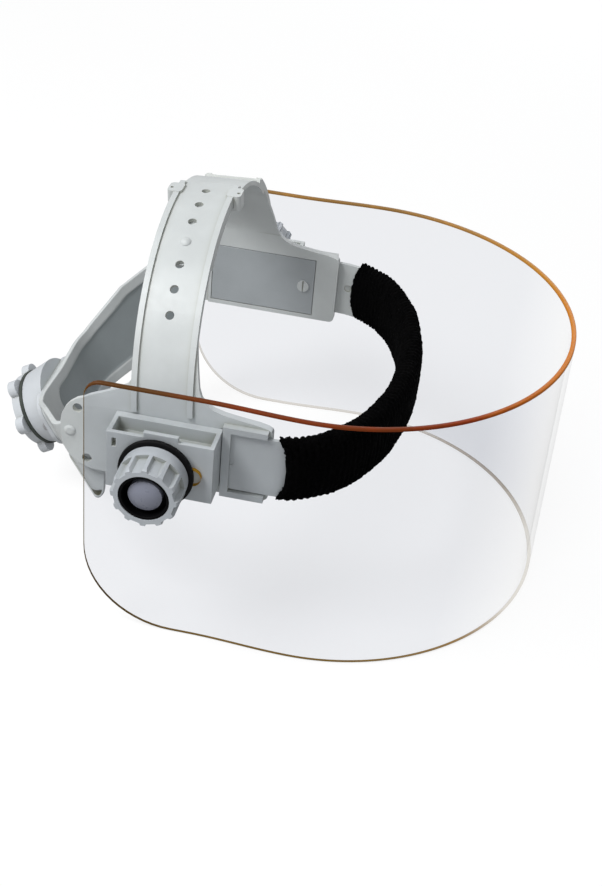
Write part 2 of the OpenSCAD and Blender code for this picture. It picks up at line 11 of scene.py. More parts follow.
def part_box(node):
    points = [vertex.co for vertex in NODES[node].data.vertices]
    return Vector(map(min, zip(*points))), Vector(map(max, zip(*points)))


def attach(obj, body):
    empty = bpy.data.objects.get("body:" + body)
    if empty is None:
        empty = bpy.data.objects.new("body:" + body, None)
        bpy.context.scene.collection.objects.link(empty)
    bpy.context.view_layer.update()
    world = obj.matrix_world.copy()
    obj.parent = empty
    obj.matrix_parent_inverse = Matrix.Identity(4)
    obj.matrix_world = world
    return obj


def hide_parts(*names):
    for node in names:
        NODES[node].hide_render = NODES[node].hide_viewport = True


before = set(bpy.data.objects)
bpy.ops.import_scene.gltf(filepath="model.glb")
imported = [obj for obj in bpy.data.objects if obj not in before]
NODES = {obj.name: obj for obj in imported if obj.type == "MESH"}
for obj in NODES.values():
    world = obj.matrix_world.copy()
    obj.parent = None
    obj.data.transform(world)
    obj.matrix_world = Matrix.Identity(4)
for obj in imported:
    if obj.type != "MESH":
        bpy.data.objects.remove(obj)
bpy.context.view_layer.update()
scene = bpy.context.scene

MM = 0.001
knob_lo, knob_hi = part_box("right_clamp_knob")
PIVOT = Vector((0, (knob_lo.y + knob_hi.y) / 2, (knob_lo.z + knob_hi.z) / 2))


def pivot_point(x, y, z):
    """A point given in millimetres about the knob axis, in the row frame."""
    return PIVOT + Vector((x, y, z)) * MM


# ---------------------------------------------------------------- camera
CAMERA_LENS, CAMERA_SENSOR = 63.1, 36
CAMERA_AZIMUTH, CAMERA_ELEVATION, CAMERA_ROLL = map(math.radians, (-81.906, 34.703, 5.561))
CAMERA_PLACE = (-0.7274, -0.1192, 0.5616)


def make_camera():
    """The camera that looks down on the shield from the wearer's right."""
    data = bpy.data.cameras.new("camera")
    data.lens = CAMERA_LENS
    data.sensor_width = CAMERA_SENSOR
    data.clip_start = 0.01
    data.clip_end = 100
    camera = bpy.data.objects.new("camera", data)
    scene.collection.objects.link(camera)
    flat, high = math.cos(CAMERA_ELEVATION), math.sin(CAMERA_ELEVATION)
    back = Vector((math.sin(CAMERA_AZIMUTH) * flat, -math.cos(CAMERA_AZIMUTH) * flat, high))
    level = Vector((0, 0, 1)).cross(back).normalized()
    above = back.cross(level)
    right = level * math.cos(CAMERA_ROLL) + above * math.sin(CAMERA_ROLL)
    up = above * math.cos(CAMERA_ROLL) - level * math.sin(CAMERA_ROLL)
    rows = [(right[k], up[k], back[k], CAMERA_PLACE[k]) for k in range(3)]
    camera.matrix_world = Matrix((*rows, (0, 0, 0, 1)))
    scene.camera = camera


# ---------------------------------------------------------------- materials
def linear(rgb):
    """An sRGB colour out of 255, as linear values."""
    parts = [c / 255 for c in rgb]
    return tuple(c / 12.92 if c <= 0.04045 else ((c + 0.055) / 1.055) ** 2.4 for c in parts) + (1.0,)


class Tree:
    """A short way to add nodes to a material."""

    def __init__(self, name):
        self.material = bpy.data.materials.new(name)
        self.material.use_nodes = True
        self.nodes = self.material.node_tree.nodes
        self.links = self.material.node_tree.links
        self.nodes.clear()
        self.out = self.nodes.new("ShaderNodeOutputMaterial")

    def add(self, kind, inputs=None, **settings):
        node = self.nodes.new(kind)
        for key, value in settings.items():
            setattr(node, key, value)
        for key, value in (inputs or {}).items():
            socket = node.inputs[key]
            if isinstance(value, bpy.types.NodeSocket):
                self.links.new(value, socket)
            else:
                socket.default_value = value
        return node

    def place(self):
        """Object coordinates in metres."""
        return self.add("ShaderNodeTexCoord").outputs["Object"]

    def noise(self, scale, detail=3.0, rough=0.5, vector=None):
        settings = {"Vector": vector or self.place(), "Scale": scale, "Detail": detail, "Roughness": rough}
        return self.add("ShaderNodeTexNoise", settings).outputs["Fac"]

    def math(self, operation, a, b):
        return self.add("ShaderNodeMath", {0: a, 1: b}, operation=operation).outputs["Value"]

    def ramp(self, value, stops):
        node = self.add("ShaderNodeValToRGB", {"Fac": value})
        elements = node.color_ramp.elements
        while len(elements) < len(stops):
            elements.new(0.5)
        for element, (position, colour) in zip(elements, stops):
            element.position = position
            element.color = colour
        return node.outputs["Color"]

    def span(self, value, low, high, to_low, to_high):
        limits = {"From Min": low, "From Max": high, "To Min": to_low, "To Max": to_high}
        return self.add("ShaderNodeMapRange", {"Value": value, **limits}).outputs["Result"]

    def mix(self, fac, a, b, mode="MIX"):
        node = self.add("ShaderNodeMix", data_type="RGBA", blend_type=mode)
        for key, value in ((0, fac), (6, a), (7, b)):
            if isinstance(value, bpy.types.NodeSocket):
                self.links.new(value, node.inputs[key])
            else:
                node.inputs[key].default_value = value
        return node.outputs[2]

    def bump(self, height, strength, distance):
        node = self.add("ShaderNodeBump", {"Height": height, "Strength": strength, "Distance": distance})
        return node.outputs["Normal"]

    def finish(self, surface):
        self.links.new(surface, self.out.inputs["Surface"])
        return self.material


def moulded(name, colour, rough=0.42, masks=()):
    """Injection-moulded plastic: faint flow mottling, fine satin texture, and painted shade that darkens the
    corners.
    masks are pairs of a vertex attribute and the colour that it brings in."""
    t = Tree(name)
    grain, mottle, corner_shade_depth = 0.12, 0.06, 0.75
    base = plain = linear(colour)
    for attribute, other in masks:
        mask = t.add("ShaderNodeAttribute", attribute_name=attribute).outputs["Fac"]
        base = t.mix(t.span(mask, 0.35, 0.65, 0, 1), base, linear(other))
    cloud = t.noise(38, 4, 0.55)
    fine = t.noise(900, 3, 0.6)
    specks = t.noise(260, 2, 0.5)
    shade = t.span(cloud, 0.3, 0.7, 1 - mottle, 1 + mottle)
    shades = t.add("ShaderNodeCombineColor", {"Red": shade, "Green": shade, "Blue": shade}).outputs["Color"]
    toned = t.mix(1.0, base, shades, "MULTIPLY")
    # painted shade: ambient occlusion darkens corners and crevices towards a dim olive tone
    corners = t.add("ShaderNodeAmbientOcclusion", {"Distance": 0.007}, samples=4, only_local=True)
    painted_corner_shade = tuple(c * k for c, k in zip(plain[:3], (0.52, 0.50, 0.36))) + (1,)
    corner = t.span(corners.outputs["AO"], 0.25, 0.9, corner_shade_depth, 0)
    toned = t.mix(corner, toned, painted_corner_shade)
    gloss = t.span(specks, 0.3, 0.7, rough - 0.05, rough + 0.07)
    normal = t.bump(fine, grain, 0.00012)
    shader = t.add("ShaderNodeBsdfPrincipled", {
        "Base Color": toned, "Roughness": gloss, "Normal": normal, "IOR": 1.46,
        "Subsurface Weight": 0.06, "Subsurface Scale": 0.002, "Subsurface Radius": (1, 0.9, 0.8)})
    return t.finish(shader.outputs["BSDF"])


def rubber(name, colour, rough=0.6, shine=0.15):
    """Matt black plastic or rubber, with a fine grain and cloudy patches."""
    t = Tree(name)
    fine = t.noise(1400, 4, 0.6)
    cloud = t.noise(60, 3, 0.5)
    base = t.ramp(cloud, [(0.3, linear(colour)), (0.75, linear([c * 1.3 + 2 for c in colour]))])
    shader = t.add("ShaderNodeBsdfPrincipled", {
        "Base Color": base, "Roughness": t.span(fine, 0.3, 0.7, rough - 0.08, rough + 0.08),
        "Normal": t.bump(fine, 0.2, 0.0001), "IOR": 1.5, "Specular IOR Level": shine})
    return t.finish(shader.outputs["BSDF"])


def metal(name):
    """Plated steel, faintly brushed across the object."""
    t = Tree(name)
    stretched = t.add("ShaderNodeMapping", {"Vector": t.place(), "Scale": (1, 6, 6)}).outputs["Vector"]
    brushed = t.noise(700, 4, 0.6, stretched)
    shader = t.add("ShaderNodeBsdfPrincipled", {
        "Base Color": t.ramp(brushed, [(0.3, linear((170, 172, 175))), (0.7, linear((205, 206, 208)))]),
        "Metallic": 1.0, "Roughness": t.span(brushed, 0.3, 0.7, 0.22, 0.38),
        "Normal": t.bump(brushed, 0.1, 0.00005)})
    return t.finish(shader.outputs["BSDF"])


def terry(name):
    """Black looped pile: tiny loops in height and colour, and a faint sheen."""
    t = Tree(name)
    cells = t.add("ShaderNodeTexVoronoi", {"Vector": t.place(), "Scale": 900, "Randomness": 1.0}, feature="F1")
    loops = cells.outputs["Distance"]
    fuzz = t.noise(2600, 4, 0.7)
    tone = t.noise(120, 3, 0.5)
    base = t.ramp(loops, [(0.0, linear((7, 7, 8))), (0.8, linear((1, 1, 1)))])
    base = t.mix(t.span(tone, 0.35, 0.7, 0, 0.35), base, linear((10, 9, 9)))
    height = t.math("ADD", t.span(loops, 0, 1, 1, 0), t.span(fuzz, 0.2, 0.8, 0, 0.5))
    shader = t.add("ShaderNodeBsdfPrincipled", {
        "Base Color": base, "Roughness": 0.97, "Normal": t.bump(height, 0.5, 0.0005),
        "Specular IOR Level": 0.03,
        "Sheen Weight": 0.012, "Sheen Roughness": 0.5, "Sheen Tint": linear((90, 90, 92))})
    return t.finish(shader.outputs["BSDF"])


def clear_sheet(name):
    """Clear tinted sheet: it darkens what is behind it a little, less where it is seen edge-on, and there it
    mirrors the room."""
    t = Tree(name)
    facing = t.add("ShaderNodeLayerWeight", {"Blend": 0.5}).outputs["Facing"]
    tint = t.mix(t.span(facing, 0.4, 0.8, 0, 1), (0.92, 0.925, 0.938, 1), (0.995, 0.995, 0.995, 1))
    clear = t.add("ShaderNodeBsdfTransparent", {"Color": tint})
    waves = t.noise(9, 2, 0.5)
    ripple = t.bump(waves, 0.04, 0.002)
    gloss = t.add("ShaderNodeBsdfGlossy", {"Color": (1, 1, 1, 1), "Roughness": 0.02, "Normal": ripple})
    mirror = t.span(t.math("POWER", facing, 5.0), 0.03, 1, 0, 0.18)
    shader = t.add("ShaderNodeMixShader", {0: mirror, 1: clear.outputs["BSDF"], 2: gloss.outputs["BSDF"]})
    return t.finish(shader.outputs["Shader"])


def sheet_edge(name, stops, through=()):
    """The sheet's cut edge, coloured amber with painted light that the sheet carries to its edge, and a faint
    painted glow. stops are its colours from the wearer's right temple to the left one. through is the share of
    light that it lets pass there, for the rim that is only a thin line."""
    t = Tree(name)
    split = t.add("ShaderNodeSeparateXYZ", {"Vector": t.place()})
    streak = t.noise(55, 4, 0.6)
    saw = t.noise(420, 3, 0.6)
    along = t.span(split.outputs["X"], -0.12, 0.12, 0, 1.0)
    mixed = t.math("ADD", along, t.span(streak, 0.25, 0.75, -0.06, 0.06))
    colour = t.ramp(mixed, [(place, linear(shade)) for place, shade in stops])
    # painted light: the rear end is darker and olive at the wearer's right temple
    rear = t.span(split.outputs["Y"], 0.0, 0.045, 0, 0.7)
    side = t.span(split.outputs["X"], -0.11, -0.10, 1, 0)
    colour = t.mix(t.math("MULTIPLY", rear, side), colour, linear((70, 54, 24)))
    # painted glow: the amber colour also goes in as a faint emission
    shader = t.add("ShaderNodeBsdfPrincipled", {
        "Base Color": colour, "Roughness": t.span(saw, 0.3, 0.7, 0.3, 0.5),
        "IOR": 1.5, "Specular IOR Level": 0.12, "Normal": t.bump(saw, 0.15, 0.0002),
        "Emission Color": colour, "Emission Strength": 0.1}).outputs["BSDF"]
    if through:
        clear = t.add("ShaderNodeBsdfTransparent", {"Color": linear((248, 247, 244))})
        passed = t.ramp(along, [(place, (share, share, share, 1)) for place, share in through])
        both = t.add("ShaderNodeMixShader", {0: passed, 1: shader, 2: clear.outputs["BSDF"]})
        shader = both.outputs["Shader"]
    return t.finish(shader)


def floor_material():
    """The floor: nearly white by itself, with only a faint shadow."""
    t = Tree("studio_floor")
    diffuse = t.add("ShaderNodeBsdfDiffuse", {"Color": (0.9, 0.9, 0.9, 1)})
    seen = t.add("ShaderNodeLightPath").outputs["Is Camera Ray"]
    glow = t.add("ShaderNodeEmission", {"Color": (1, 1, 1, 1), "Strength": t.span(seen, 0, 1, 0.3, 1.0)})
    shader = t.add("ShaderNodeMixShader", {0: 0.2, 1: glow.outputs["Emission"], 2: diffuse.outputs["BSDF"]})
    return t.finish(shader.outputs["Shader"])


GREY = moulded("grey_moulding", (190, 194, 194))
PANEL = moulded("shaded_panel", (158, 163, 166), rough=0.5)
# the dark olive colour that the groove mask brings in is painted shadow in the band's lower groove
BAND = moulded("band_moulding", (190, 194, 194), masks=(("sunk", (142, 149, 151)), ("groove", (74, 74, 58))))
KNOB = moulded("knob_grey", (168, 173, 178), rough=0.36)
DIAL = moulded("dial_grey", (190, 194, 198), rough=0.36)
CAP = moulded("cap_grey", (122, 125, 138), rough=0.3)
DARK = rubber("black_plastic", (3, 3, 4), 0.6, 0.08)
RUBBER = rubber("black_rubber", (6, 6, 7), 0.6)
SEAL = rubber("dial_seal_rubber", (58, 62, 58), 0.6)
STEEL = metal("bright_steel")
TERRY = terry("black_terry")
SHEET = clear_sheet("clear_sheet")
EDGE = sheet_edge("amber_edge", [
    (0.0, (100, 42, 10)), (0.1, (122, 44, 8)), (0.2, (158, 82, 10)), (0.34, (178, 100, 12)),
    (0.55, (188, 112, 22)), (0.8, (172, 118, 44)), (0.94, (156, 112, 54)), (1.0, (132, 98, 52))])
PALE_EDGE = sheet_edge("thin_edge", [
    (0.0, (112, 88, 40)), (0.2, (140, 106, 46)), (0.5, (180, 168, 140)),
    (0.84, (152, 132, 108)), (1.0, (168, 152, 132))],
    [(0.0, 0.0), (0.16, 0.05), (0.3, 0.75), (0.6, 0.8), (0.78, 0.3), (0.94, 0.35), (0.99, 0.7)])
SLOT_EDGE = sheet_edge("slot_edge", [(0.0, (170, 128, 26)), (0.5, (176, 110, 24)), (1.0, (160, 118, 30))])


def both_sides(table):
    """The table with every name that starts with "each_" given for the right and the left node."""
    full = {}
    for name, value in table.items():
        if name.startswith("each_"):
            full["right_" + name[5:]] = full["left_" + name[5:]] = value
        else:
            full[name] = value
    return full


LOOKS = both_sides({
    "visor": SHEET, "sweatband": TERRY, "front_strap": GREY, "crown_snap_peg": GREY, "each_side_frame": GREY,
    "each_strap_pin": GREY, "each_inner_cover": PANEL, "each_pivot_block": GREY, "each_clamp_stud": STEEL,
    "each_friction_washer": RUBBER, "each_clamp_knob": KNOB, "each_knob_well": DARK, "each_knob_cap": CAP,
    "each_band_arm": GREY, "each_band_rivet": GREY, "each_toothed_tail": GREY, "ratchet_base": GREY,
    "ratchet_cover": DIAL, "cover_screws": STEEL, "pawl_spring": STEEL, "ratchet_pinion": DARK,
    "ratchet_wheel": DARK, "ratchet_dial": DIAL, "dial_seal": SEAL, "dial_screw": STEEL,
})
# how far the edges of a CAD node are rounded, in millimetres
COMMON_SOFTNESS = 0.45
SOFTNESS = both_sides({
    "each_clamp_knob": 0.6, "ratchet_dial": 0.8, "each_inner_cover": 0.2, "each_friction_washer": 0.5,
    "each_band_rivet": 0.25, "crown_snap_peg": 0.2, "each_strap_pin": 0.15, "cover_screws": 0.2,
    "dial_screw": 0.15, "each_knob_well": 0.3, "pawl_spring": 0.0, "ratchet_wheel": 0.0,
    "ratchet_pinion": 0.0, "each_toothed_tail": 0.0,
})
# nodes with holes in flat faces, whose triangles have to stay as they are
PIERCED = {"right_side_frame", "left_side_frame", "right_knob_cap", "left_knob_cap"}


def soften(obj, width, flatten=True):
    """Rounds the edges of a piece with modifiers, and leaves its own mesh as it is."""
    weld = obj.modifiers.new("weld", "WELD")
    weld.merge_threshold = 0.00001
    if width and flatten:
        flat = obj.modifiers.new("flat", "DECIMATE")
        flat.decimate_type = "DISSOLVE"
        flat.angle_limit = math.radians(0.5)
    if width:
        bevel = obj.modifiers.new("soft_edges", "BEVEL")
        bevel.width = width * MM
        bevel.segments = 3
        bevel.limit_method = "ANGLE"
        bevel.angle_limit = math.radians(32)
        bevel.harden_normals = True
        bevel.miter_outer = "MITER_ARC"
        bevel.use_clamp_overlap = True
    normals = obj.modifiers.new("normals", "WEIGHTED_NORMAL")
    normals.keep_sharp = True


def dress_nodes():
    """A material and rounded edges for every CAD node."""
    for name, obj in NODES.items():
        obj.data.materials.clear()
        obj.data.materials.append(LOOKS[name])
        if obj.data.has_custom_normals:
            with bpy.context.temp_override(object=obj, active_object=obj, selected_objects=[obj]):
                bpy.ops.mesh.customdata_custom_splitnormals_clear()
        for p in obj.data.polygons:
            p.use_smooth = True
        soften(obj, SOFTNESS.get(name, COMMON_SOFTNESS), name not in PIERCED)


# ---------------------------------------------------------------- meshes
def add_piece(name, verts, faces, materials, body):
    """A smooth-shaded mesh that rides on a body."""
    mesh = bpy.data.meshes.new(name)
    mesh.from_pydata([tuple(v) for v in verts], [], faces)
    mesh.validate()
    obj = bpy.data.objects.new(name, mesh)
    scene.collection.objects.link(obj)
    for m in materials:
        mesh.materials.append(m)
    for p in mesh.polygons:
        p.use_smooth = True
    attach(obj, body)
    return obj


def face_outwards(mesh, index=None):
    """Turns a closed mesh's faces outwards, and gives them their materials where index has them."""
    bm = bmesh.new()
    bm.from_mesh(mesh)
    for face, k in zip(bm.faces, index or ()):
        face.material_index = k
    bmesh.ops.recalc_face_normals(bm, faces=bm.faces)
    bm.to_mesh(mesh)
    bm.free()


def unit(v):
    n = np.linalg.norm(v, axis=-1, keepdims=True)
    return v / np.where(n < 1e-9, 1, n)


def sheet_solid(points, normals, out, inner, ease, materials):
    """A closed sheet from a grid of middle points in millimetres. out and inner are how far its faces stand
    from the middle, and ease is the radius of its rim. materials(kind, i, j, level) gives a face's material
    index; level counts the rim's strips from the outer face to the inner one."""
    rows, cols = points.shape[:2]
    faces, index = [], []
    top = points + normals * out[..., None]
    low = points - normals * inner[..., None]
    verts = [*top.reshape(-1, 3), *low.reshape(-1, 3)]
    count = rows * cols
    for i in range(rows - 1):
        for j in range(cols - 1):
            a, b, c, d = i * cols + j, i * cols + j + 1, (i + 1) * cols + j + 1, (i + 1) * cols + j
            faces.append((a, b, c, d))
            index.append(materials("out", i, j, 0))
            faces.append((d + count, c + count, b + count, a + count))
            index.append(materials("in", i, j, 0))
    ring = [(0, j) for j in range(cols)] + [(i, cols - 1) for i in range(1, rows)]
    ring += [(rows - 1, j) for j in range(cols - 2, -1, -1)] + [(i, 0) for i in range(rows - 2, 0, -1)]
    ids = np.array([i * cols + j for i, j in ring])
    mid = points.reshape(-1, 3)[ids]
    norm = normals.reshape(-1, 3)[ids]
    tangent = unit(np.roll(mid, -1, 0) - np.roll(mid, 1, 0))
    away = unit(np.cross(tangent, norm))
    nearby = [min(max(i, 1), rows - 2) * cols + min(max(j, 1), cols - 2) for i, j in ring]
    centre = points.reshape(-1, 3)[nearby]
    away *= np.where(np.sum(away * (mid - centre), 1) < 0, -1, 1)[:, None]
    up, down = out.reshape(-1)[ids], inner.reshape(-1)[ids]
    layers = [ids]
    turn = [math.radians(a) for a in (25, 55, 90)]
    for half, sign, angles in ((up, 1, turn), (down, -1, turn[::-1])):
        radius = np.minimum(ease, half * 0.95)
        for angle in angles:
            rise = half - radius * (1 - math.cos(angle))
            layers.append(np.arange(len(ring)) + len(verts))
            verts.extend(mid + away * (ease * math.sin(angle)) + sign * norm * rise[:, None])
    layers.append(ids + count)
    n = len(ring)
    for level in range(len(layers) - 1):
        a, b = layers[level], layers[level + 1]
        for k in range(n):
            m = (k + 1) % n
            faces.append((int(a[k]), int(b[k]), int(b[m]), int(a[m])))
            index.append(materials("rim", *ring[k], level))
    return np.array(verts), faces, index


def add_sheet(name, built, materials, body, to_row):
    """A piece from what sheet_solid returns; to_row turns its millimetres into the row frame."""
    verts, faces, index = built
    obj = add_piece(name, [to_row(*v) for v in verts], faces, materials, body)
    face_outwards(obj.data, index)
    return obj


# ---------------------------------------------------------------- visor
# millimetres about the knob axis, as are all lengths from here on
VISOR_LOW, VISOR_HIGH = -103.0, 47.0
VISOR_T, VISOR_R, HALF_W, REACH, TAIL = 2.5, 120.0, 117.5, 195.5, 38.0
ARC_Y, PINCH_Y = VISOR_R - REACH + VISOR_T / 2, -20.0
RIM_R, LOW_CORNER_R, TOP_CORNER_R = 0.55, 48.0, 9.0
SLOT_R, SLOT_RUN = 4.8, 18.0
VISOR_MATERIALS = [SHEET, EDGE, PALE_EDGE, SLOT_EDGE]
CLEAR, TOP_RIM, THIN_RIM, SLOT_WALL = range(4)


def sheet_x(y):
    """Half the visor's width: straight cheeks that widen to the round front."""
    if y > PINCH_Y:
        return HALF_W
    return HALF_W + (VISOR_R - HALF_W) * (1 - math.cos(math.pi * (PINCH_Y - y) / (PINCH_Y - ARC_Y))) / 2


def arc(centre_y, start, steps=48):
    """Half a slot's end, as (y, z) in millimetres, turning half round from start degrees."""
    angles = [math.radians(start + 180 * k / steps) for k in range(steps + 1)]
    return [(SLOT_R * math.cos(a) + centre_y, SLOT_R * math.sin(a)) for a in angles]


def corner_steps(radius, step):
    """Where the columns of a rounded rear corner stand."""
    return {round(TAIL - radius + (radius - RIM_R) * math.sin(math.radians(a)), 4) for a in range(0, 91, step)}


def corner_drop(radius, y):
    """How far the rim has drawn in at y, in a rounded rear corner."""
    if y <= TAIL - radius:
        return RIM_R
    return radius - math.sqrt(max(0, (radius - RIM_R) ** 2 - (y - TAIL + radius) ** 2))


def cut_slot(visor, side):
    """A boolean cut for the adjusting slot on one side, with amber walls. Returns the cutter."""
    outline = arc(-SLOT_RUN, 90) + arc(0.0, -90)
    bm = bmesh.new()
    rings = [[bm.verts.new(pivot_point(side * x, y, z)) for y, z in outline] for x in (HALF_W - 4, HALF_W + 4)]
    for k in range(len(outline)):
        m = (k + 1) % len(outline)
        bm.faces.new((rings[0][k], rings[0][m], rings[1][m], rings[1][k]))
    bm.faces.new(rings[0])
    bm.faces.new(rings[1][::-1])
    bmesh.ops.remove_doubles(bm, verts=bm.verts, dist=1e-7)
    bmesh.ops.recalc_face_normals(bm, faces=bm.faces)
    mesh = bpy.data.meshes.new("cut")
    bm.to_mesh(mesh)
    bm.free()
    for m in VISOR_MATERIALS:
        mesh.materials.append(m)
    for p in mesh.polygons:
        p.material_index = SLOT_WALL
    cutter = bpy.data.objects.new("cut", mesh)
    scene.collection.objects.link(cutter)
    cut = visor.modifiers.new("slot", "BOOLEAN")
    cut.object = cutter
    cut.operation = "DIFFERENCE"
    cut.solver = "EXACT"
    return cutter


def make_visor():
    """The clear sheet: flat cheeks, a round front, rounded rear corners, and an eased rim that shows amber."""
    cheek = sorted(corner_steps(LOW_CORNER_R, 6) | corner_steps(TOP_CORNER_R, 15), reverse=True)
    side = [(HALF_W, y) for y in cheek] + [(HALF_W, -13.0), (HALF_W, -16.5)]
    side += [(sheet_x(y), y) for y in (PINCH_Y + (ARC_Y - PINCH_Y) * k / 16 for k in range(16))]
    turns = [math.pi * k / 96 for k in range(97)]
    round_front = [(VISOR_R * math.cos(a), ARC_Y - VISOR_R * math.sin(a)) for a in turns]
    path = np.array(side + round_front + [(-x, y) for x, y in reversed(side)])
    tangent = unit(np.gradient(path, axis=0))
    normal = np.stack([-tangent[:, 1], tangent[:, 0]], 1)
    normal *= np.where(np.sum(normal * (path - np.array([0, -60])), 1) < 0, -1, 1)[:, None]
    cols = len(path)
    rim = [0, 0.006, 0.02]
    share = np.array(rim + list(np.linspace(0.06, 0.94, 22)) + [1 - r for r in reversed(rim)])
    points = np.zeros((len(share), cols, 3))
    for j, (x, y) in enumerate(path):
        z0 = VISOR_LOW + corner_drop(LOW_CORNER_R, y)
        z1 = VISOR_HIGH - corner_drop(TOP_CORNER_R, y)
        points[:, j] = np.stack([np.full(len(share), x), np.full(len(share), y), z0 + (z1 - z0) * share], 1)
    normals = np.zeros_like(points)
    normals[..., :2] = normal[None]
    half = np.full(points.shape[:2], VISOR_T / 2)
    last = len(share) - 2

    def kind(face, i, j, level):
        if face != "rim":
            return TOP_RIM if i == last else CLEAR
        if i > last and 2 < j < cols - 3:
            return TOP_RIM
        # the thin line takes up more of the rim's width towards the wearer's left
        return THIN_RIM if level < 4 + 4 * max(0, points[i, j, 0] - 10) / 50 else CLEAR

    built = sheet_solid(points, normals, half, half, RIM_R, kind)
    visor = add_sheet("visor_sheet", built, VISOR_MATERIALS, "visor", pivot_point)
    cutters = [cut_slot(visor, side) for side in (-1, 1)]
    bpy.context.view_layer.update()
    depsgraph = bpy.context.evaluated_depsgraph_get()
    cut_mesh = bpy.data.meshes.new_from_object(visor.evaluated_get(depsgraph), depsgraph=depsgraph)
    visor.modifiers.clear()
    visor.data = cut_mesh
    cut_mesh.set_sharp_from_angle(angle=math.radians(40))
    for cutter in cutters:
        bpy.data.objects.remove(cutter)
    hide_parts("visor")


# ---------------------------------------------------------------- sweatband
SLEEVE_HALF_X, SLEEVE_HALF_Y, SLEEVE_Y = 98.7, 54.5, -55.0   # the half ellipse that the strap follows
SLEEVE_NEAR, SLEEVE_FAR = math.asin(6.8 / SLEEVE_HALF_Y), math.asin(11.0 / SLEEVE_HALF_Y)
SLEEVE_TALL, SLEEVE_LIFT = 18.1, 1.0
MOUTH_HALF_T, MOUTH_TALL = 1.75, 17.7                         # the turned-in end, close round the strap
AROUND, LONG_STEPS, INNER_STEPS = 132, 330, 40
RIB_PITCH = 3.1


def noise_at(x, y, z):
    return noise.noise(Vector((x, y, z)))


def make_sweatband():
    """The terry sleeve: a soft tube round the strap, puckered into ribs along its long edges. Its rings run
    along the outside, turn in at one end, come back close to the strap, and turn out again."""
    fine = np.linspace(SLEEVE_FAR, math.pi - SLEEVE_NEAR, 1600)
    line = np.array([(SLEEVE_HALF_X * math.cos(t), SLEEVE_Y - SLEEVE_HALF_Y * math.sin(t)) for t in fine])
    run = np.concatenate([[0], np.cumsum(np.linalg.norm(np.diff(line, axis=0), axis=1))])
    total = run[-1]

    def frame_at(s):
        """The strap's turn, middle point, direction and outward normal, s millimetres along it."""
        t = float(np.interp(s, run, fine))
        p = np.array([SLEEVE_HALF_X * math.cos(t), SLEEVE_Y - SLEEVE_HALF_Y * math.sin(t)])
        d = unit(np.array([-SLEEVE_HALF_X * math.sin(t), -SLEEVE_HALF_Y * math.cos(t)]))
        n = np.array([-d[1], d[0]])
        return t, p, d, -n if n @ (p - np.array([0, SLEEVE_Y])) < 0 else n

    lips = [(0.9 * math.sin(math.acos(share)), share) for share in (0.93, 0.75, 0.45, 0.2)]
    rings = [(total * k / LONG_STEPS, 1.0) for k in range(LONG_STEPS + 1)]
    rings += [(total + beyond, share) for beyond, share in lips]
    rings += [(total - 1.5 - (total - 3) * k / INNER_STEPS, 0.0) for k in range(INNER_STEPS + 1)]
    rings += [(-beyond, share) for beyond, share in reversed(lips)]
    verts = []
    for s, share in rings:
        on_strap = min(max(s, 0), total)
        beyond = s - on_strap
        t, p, d, n = frame_at(on_strap)
        end = min(s, total - s)
        sign = 1 if s > total / 2 else -1
        thick = 4.9 + 1.5 * math.sin(t)
        puff = 1 - 0.13 * math.exp(-end / 5.0) if end >= 0 else 0.87
        h = thick * puff * share + MOUTH_HALF_T * (1 - share)
        height = SLEEVE_TALL * share + MOUTH_TALL * (1 - share)
        power = 2 / (2.7 * share + 7 * (1 - share))
        for a in np.linspace(0, 2 * math.pi, AROUND, endpoint=False):
            c, sn = math.cos(a), math.sin(a)
            across = h * math.copysign(abs(c) ** power, c)
            up = height * math.copysign(abs(sn) ** power, sn)
            edge = abs(up) / SLEEVE_TALL
            # the ends bulge at the corners and draw in at the middle
            lip = 4.2 * (edge ** 2.2 - 0.25) if sign > 0 else -4.0 * (edge ** 2.2 - 0.4)
            along = beyond + sign * lip * math.exp(-max(end, 0) / 6.0) * (1 if share > 0.15 else 0.4)
            if share > 0.15:
                drift = 0.9 * noise_at(s / 9.0, a * 1.3, 3.1)
                phase = (s + 1.1 * drift + 0.4 * across) / RIB_PITCH
                rib = abs(math.sin(math.pi * phase)) ** 0.5
                bulge = (0.7 + 1.3 * edge ** 2) * (rib - 0.6)
                bulge += 0.42 * noise_at(s / 0.85, across / 0.85, up / 0.85)
                bulge += 0.34 * noise_at(s / 2.1, across / 2.1 + 7, up / 2.1)
                bulge += 0.55 * noise_at(s / 17, a * 0.9, 9.0)
                gx, gz = across / max(h, 0.1) ** 2, up / height ** 2
                g = math.hypot(gx, gz) or 1
                across += bulge * gx / g
                up += bulge * gz / g * 1.15
                along += noise_at(s / 1.3 + 40, across / 1.5, up / 1.1) * (1.3 if end < 4 else 0.15)
            x, y = p + n * across + d * along
            verts.append(pivot_point(x, y, up + SLEEVE_LIFT))
    count = len(rings)
    faces = []
    for k in range(count):
        m = (k + 1) % count
        for j in range(AROUND):
            i = (j + 1) % AROUND
            faces.append((k * AROUND + j, k * AROUND + i, m * AROUND + i, m * AROUND + j))
    band = add_piece("terry_sweatband", verts, faces, [TERRY], "headgear")
    face_outwards(band.data)
    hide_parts("sweatband")


# ---------------------------------------------------------------- rear band
PIN_Y = 52.0
SLOPE = math.radians(30)
NAPE_U, TURN_X, ARM_X, BEND_U, ARM_END_U = 47.5, 36.0, 92.7, 9.0, -30.0
FRONT_LOW, FRONT_HIGH = -47.1, 3.99
BAND_R, BAND_OUT, BAND_IN, PANEL_DEPTH = 0.6, 0.95, 1.9, 0.85
BORDER, PANEL_R = 5.2, 10.0
AXIS_V, CASE_HALF, CASE_HIGH, CASE_R, CASE_WALL, CASE_END_U = -25.0, 31.0, 16.9, 12.0, 1.9, 53.62


def band_point(x, u, v):
    """A point of the sloping rear band, in millimetres from the lobe pins: u runs down the slope to the rear,
    and v stands up from it."""
    y = PIN_Y + u * math.cos(SLOPE) + v * math.sin(SLOPE)
    return pivot_point(x, y, -u * math.sin(SLOPE) + v * math.cos(SLOPE))


